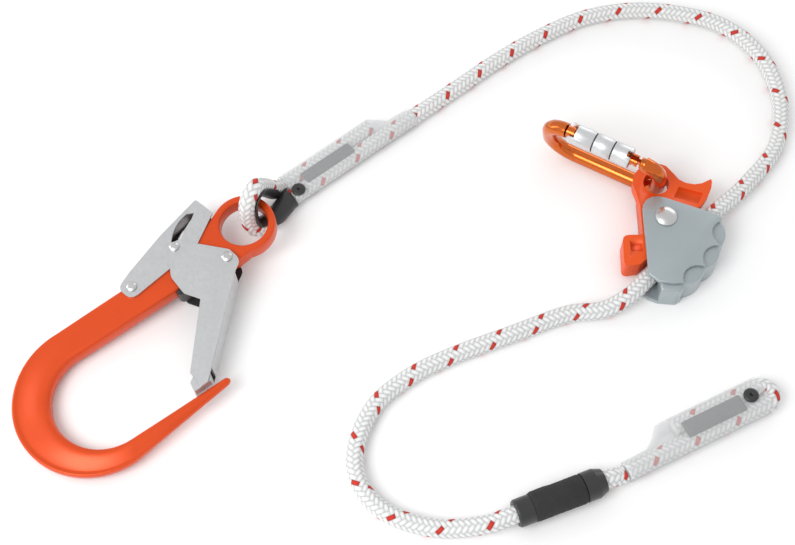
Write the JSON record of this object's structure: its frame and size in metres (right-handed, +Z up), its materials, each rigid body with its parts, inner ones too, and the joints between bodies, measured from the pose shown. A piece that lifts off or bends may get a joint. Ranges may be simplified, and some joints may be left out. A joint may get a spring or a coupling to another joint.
{
  "type": "rope grab lanyard",
  "caption": "Braided rope lanyard with a sliding rope grab and carabiner, a large gated scaffold hook at one end, and a stop and sewn loop at the other.",
  "frame": {"origin": "centre of the underside, measured without the free rope", "axes": "+X along the longest side, from the hook to the tail loop; +Z up from the surface it lies on"},
  "size_m": [0.5373, 0.4196, 0.0539],
  "materials": {
    "rope_white": "white braided rope with red tracer yarns",
    "hook_orange": "satin orange coating on forged metal",
    "satin_silver": "satin plated sheet",
    "pin_steel": "plain rivets and pins",
    "black_plastic": "black moulded plastic",
    "milky_sleeve": "milky soft plastic",
    "dark_thread": "dense dark stitching",
    "stopper_wrap_black": "black adhesive cloth",
    "housing_grey": "blue-grey metallic coating",
    "lever_orange": "bright orange coating",
    "anodised_copper": "glossy orange anodising",
    "sleeve_silver": "bright turned aluminium"
  },
  "bodies": {
    "lanyard": {"rope": "rope_white", "hook_eye_rope": "rope_white", "thimble": "black_plastic", "hook_end_sleeve": "milky_sleeve", "hook_end_stud": "black_plastic", "hook_end_stitching": "dark_thread", "tail_loop_rope": "rope_white", "tail_sleeve": "milky_sleeve", "tail_stud": "black_plastic", "tail_stitching": "dark_thread", "stopper_ring_1": "black_plastic", "stopper_wrap": "stopper_wrap_black", "stopper_ring_2": "black_plastic", "cover_plate": "housing_grey", "grab_housing": "housing_grey", "cover_dowel_1": "pin_steel", "cover_dowel_2": "pin_steel", "main_rivet": "pin_steel", "rivet_bush": "pin_steel"},
    "hook": {"hook_body": "hook_orange", "gate_pivot_rivet": "pin_steel", "gate_bush": "pin_steel", "gate_stop": "black_plastic", "lock_lever_rivet": "pin_steel", "lock_spring": "pin_steel"},
    "hook_gate": {"hook_gate": "satin_silver", "gate_tip": "satin_silver", "gate_lock_pin": "pin_steel"},
    "hook_lock": {"lock_lever": "satin_silver"},
    "cam_lever": {"cam_lever": "lever_orange", "cam_spring": "pin_steel"},
    "carabiner": {"carabiner_body": "anodised_copper", "gate_hinge_pin": "pin_steel"},
    "carabiner_gate": {"carabiner_gate": "anodised_copper"},
    "sleeve_slider": {"sleeve_collar": "pin_steel"},
    "twist_sleeve": {"twist_sleeve": "sleeve_silver"}
  },
  "joints": [
    {"name": "hook_swing", "type": "hinge", "parent": "lanyard", "child": "hook", "pos_m": [-0.1046, 0.0527, 0.0193], "axis": [0, 0, 1], "range_deg": [-12, 14]},
    {"name": "hook_gate_turn", "type": "hinge", "parent": "hook", "child": "hook_gate", "pos_m": [-0.11401, 0.02559, 0.01778], "axis": [-0.0522, -0.0379, 0.9979], "range_deg": [-38, 0], "stiffness_Nm_per_rad": 0.02, "springref_deg": 8.02},
    {"name": "hook_lock_press", "type": "hinge", "parent": "hook", "child": "hook_lock", "pos_m": [-0.1775, 0.00567, 0.0137], "axis": [-0.0522, -0.0379, 0.9979], "range_deg": [-5, 0]},
    {"name": "cam_lever_turn", "type": "hinge", "parent": "lanyard", "child": "cam_lever", "pos_m": [0.1847, 0.0583, 0], "axis": [0, 0, 1], "range_deg": [-6, 0], "stiffness_Nm_per_rad": 0.02, "springref_deg": 5.73},
    {"name": "carabiner_swing", "type": "hinge", "parent": "cam_lever", "child": "carabiner", "pos_m": [0.181, 0.0875, 0.0058], "axis": [0, 0, 1], "range_deg": [-10, 14]},
    {"name": "carabiner_gate_turn", "type": "hinge", "parent": "carabiner", "child": "carabiner_gate", "pos_m": [0.16234, 0.08976, 0.04643], "axis": [0.4586, 0.8517, 0.2538], "range_deg": [-24, 0], "stiffness_Nm_per_rad": 0.01, "springref_deg": 8.02},
    {"name": "sleeve_slide", "type": "slide", "parent": "carabiner_gate", "child": "sleeve_slider", "axis": [0.8805, -0.4741, 0], "range_m": [0, 0.0035], "stiffness_N_per_m": 60, "springref_m": -0.002},
    {"name": "sleeve_twist", "type": "hinge", "parent": "sleeve_slider", "child": "twist_sleeve", "pos_m": [0.16234, 0.08976, 0.04643], "axis": [0.8805, -0.4741, 0], "range_deg": [0, 80], "stiffness_Nm_per_rad": 0.003, "springref_deg": -9.74}
  ],
  "couplings": [
    {"joint": "hook_lock_press", "follows": "hook_gate_turn", "ratio": 0.1316}
  ]
}
